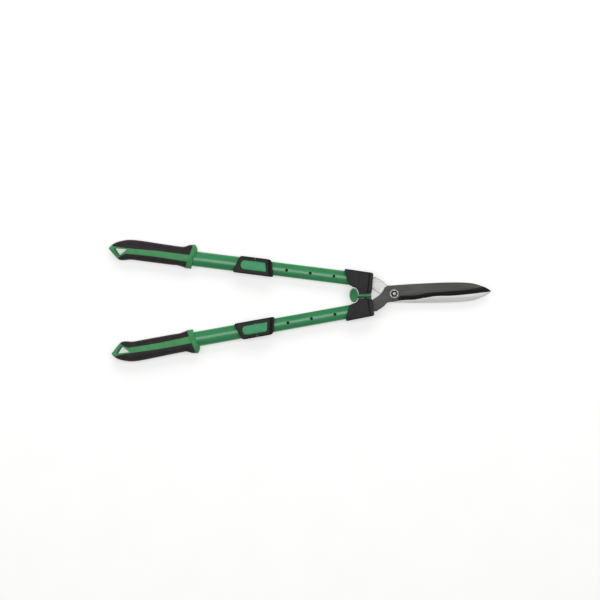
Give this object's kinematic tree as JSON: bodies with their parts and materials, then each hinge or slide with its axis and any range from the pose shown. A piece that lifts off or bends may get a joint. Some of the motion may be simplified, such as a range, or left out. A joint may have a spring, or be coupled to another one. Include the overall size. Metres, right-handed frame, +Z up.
{
  "type": "telescopic hedge shears",
  "caption": "Two-handed hedge shears with overlapping straight blades on a bolt pivot and telescopic oval-tube handles locked by rocker latches, with soft grips.",
  "frame": {"origin": "under the middle of the closed shears' bounding box, on the surface that they lie on", "axes": "+X along the centreline towards the blade tips; +Y towards the handle that carries the rear blade; +Z up, out of the side with the pivot nut and the latch buttons"},
  "size_m": [0.8006, 0.2556, 0.0352],
  "materials": {
    "blade_coating": "satin dark grey-brown non-stick coating",
    "blade_steel": "ground bright steel",
    "plated_steel": "bright zinc plating",
    "spring_steel": "rolled spring steel",
    "green_paint": "smooth satin powder coat, green",
    "green_plastic": "fine textured moulding, green",
    "button_plastic": "fine textured moulding, lighter green",
    "bumper_rubber": "smooth soft moulding, green",
    "black_plastic": "fine spark-textured moulding, black",
    "grip_rubber": "matt soft overmoulding, black",
    "nylon": "smooth nylon, black"
  },
  "bodies": {
    "front_blade_side": {"blade_front": "blade_coating", "bumper": "bumper_rubber", "bracket_lower": "black_plastic", "tang_screw_lower_1": "plated_steel", "tang_screw_lower_2": "plated_steel", "tube_screw_lower": "plated_steel", "inner_tube_lower": "green_paint", "tube_end_plug_lower": "black_plastic"},
    "rear_blade_side": {"blade_rear": "blade_steel", "pivot_bolt": "plated_steel", "pivot_washer": "plated_steel", "pivot_nut": "plated_steel", "nut_locking_ring": "nylon", "bracket_upper": "black_plastic", "tang_screw_upper_1": "plated_steel", "tang_screw_upper_2": "plated_steel", "tube_screw_upper": "plated_steel", "inner_tube_upper": "green_paint", "tube_end_plug_upper": "black_plastic"},
    "handle_upper": {"outer_tube_upper": "green_paint", "latch_collar_upper": "black_plastic", "latch_pin_upper": "plated_steel", "latch_spring_upper": "spring_steel", "spring_rivet_upper": "plated_steel", "collar_rivet_upper": "plated_steel", "grip_core_upper": "green_plastic", "grip_pad_outer_upper": "grip_rubber", "grip_pad_inner_upper": "grip_rubber"},
    "latch_upper": {"latch_button_upper": "button_plastic"},
    "handle_lower": {"outer_tube_lower": "green_paint", "latch_collar_lower": "black_plastic", "latch_pin_lower": "plated_steel", "latch_spring_lower": "spring_steel", "spring_rivet_lower": "plated_steel", "collar_rivet_lower": "plated_steel", "grip_core_lower": "green_plastic", "grip_pad_outer_lower": "grip_rubber", "grip_pad_inner_lower": "grip_rubber"},
    "latch_lower": {"latch_button_lower": "button_plastic"}
  },
  "joints": [
    {"name": "blade_pivot", "type": "hinge", "parent": "front_blade_side", "child": "rear_blade_side", "pos_m": [0.19675, 0, 0.016], "axis": [0, 0, -1], "range_deg": [0, 60]},
    {"name": "handle_slide_upper", "type": "slide", "parent": "rear_blade_side", "child": "handle_upper", "axis": [0.9886, -0.1507, 0], "range_m": [0, 0.15], "deforming": ["latch_spring_upper"]},
    {"name": "latch_rocker_upper", "type": "hinge", "parent": "handle_upper", "child": "latch_upper", "pos_m": [-0.09488, 0.06537, 0.0306], "axis": [-0.1507, -0.9886, 0], "range_deg": [0, 7], "stiffness_Nm_per_rad": 1, "springref_deg": -14.32, "deforming": ["latch_spring_upper"]},
    {"name": "handle_slide_lower", "type": "slide", "parent": "front_blade_side", "child": "handle_lower", "axis": [0.9886, 0.1507, 0], "range_m": [0, 0.15], "deforming": ["latch_spring_lower"]},
    {"name": "latch_rocker_lower", "type": "hinge", "parent": "handle_lower", "child": "latch_lower", "pos_m": [-0.09488, -0.06537, 0.0306], "axis": [0.1507, -0.9886, 0], "range_deg": [0, 7], "stiffness_Nm_per_rad": 1, "springref_deg": -14.32, "deforming": ["latch_spring_lower"]}
  ]
}
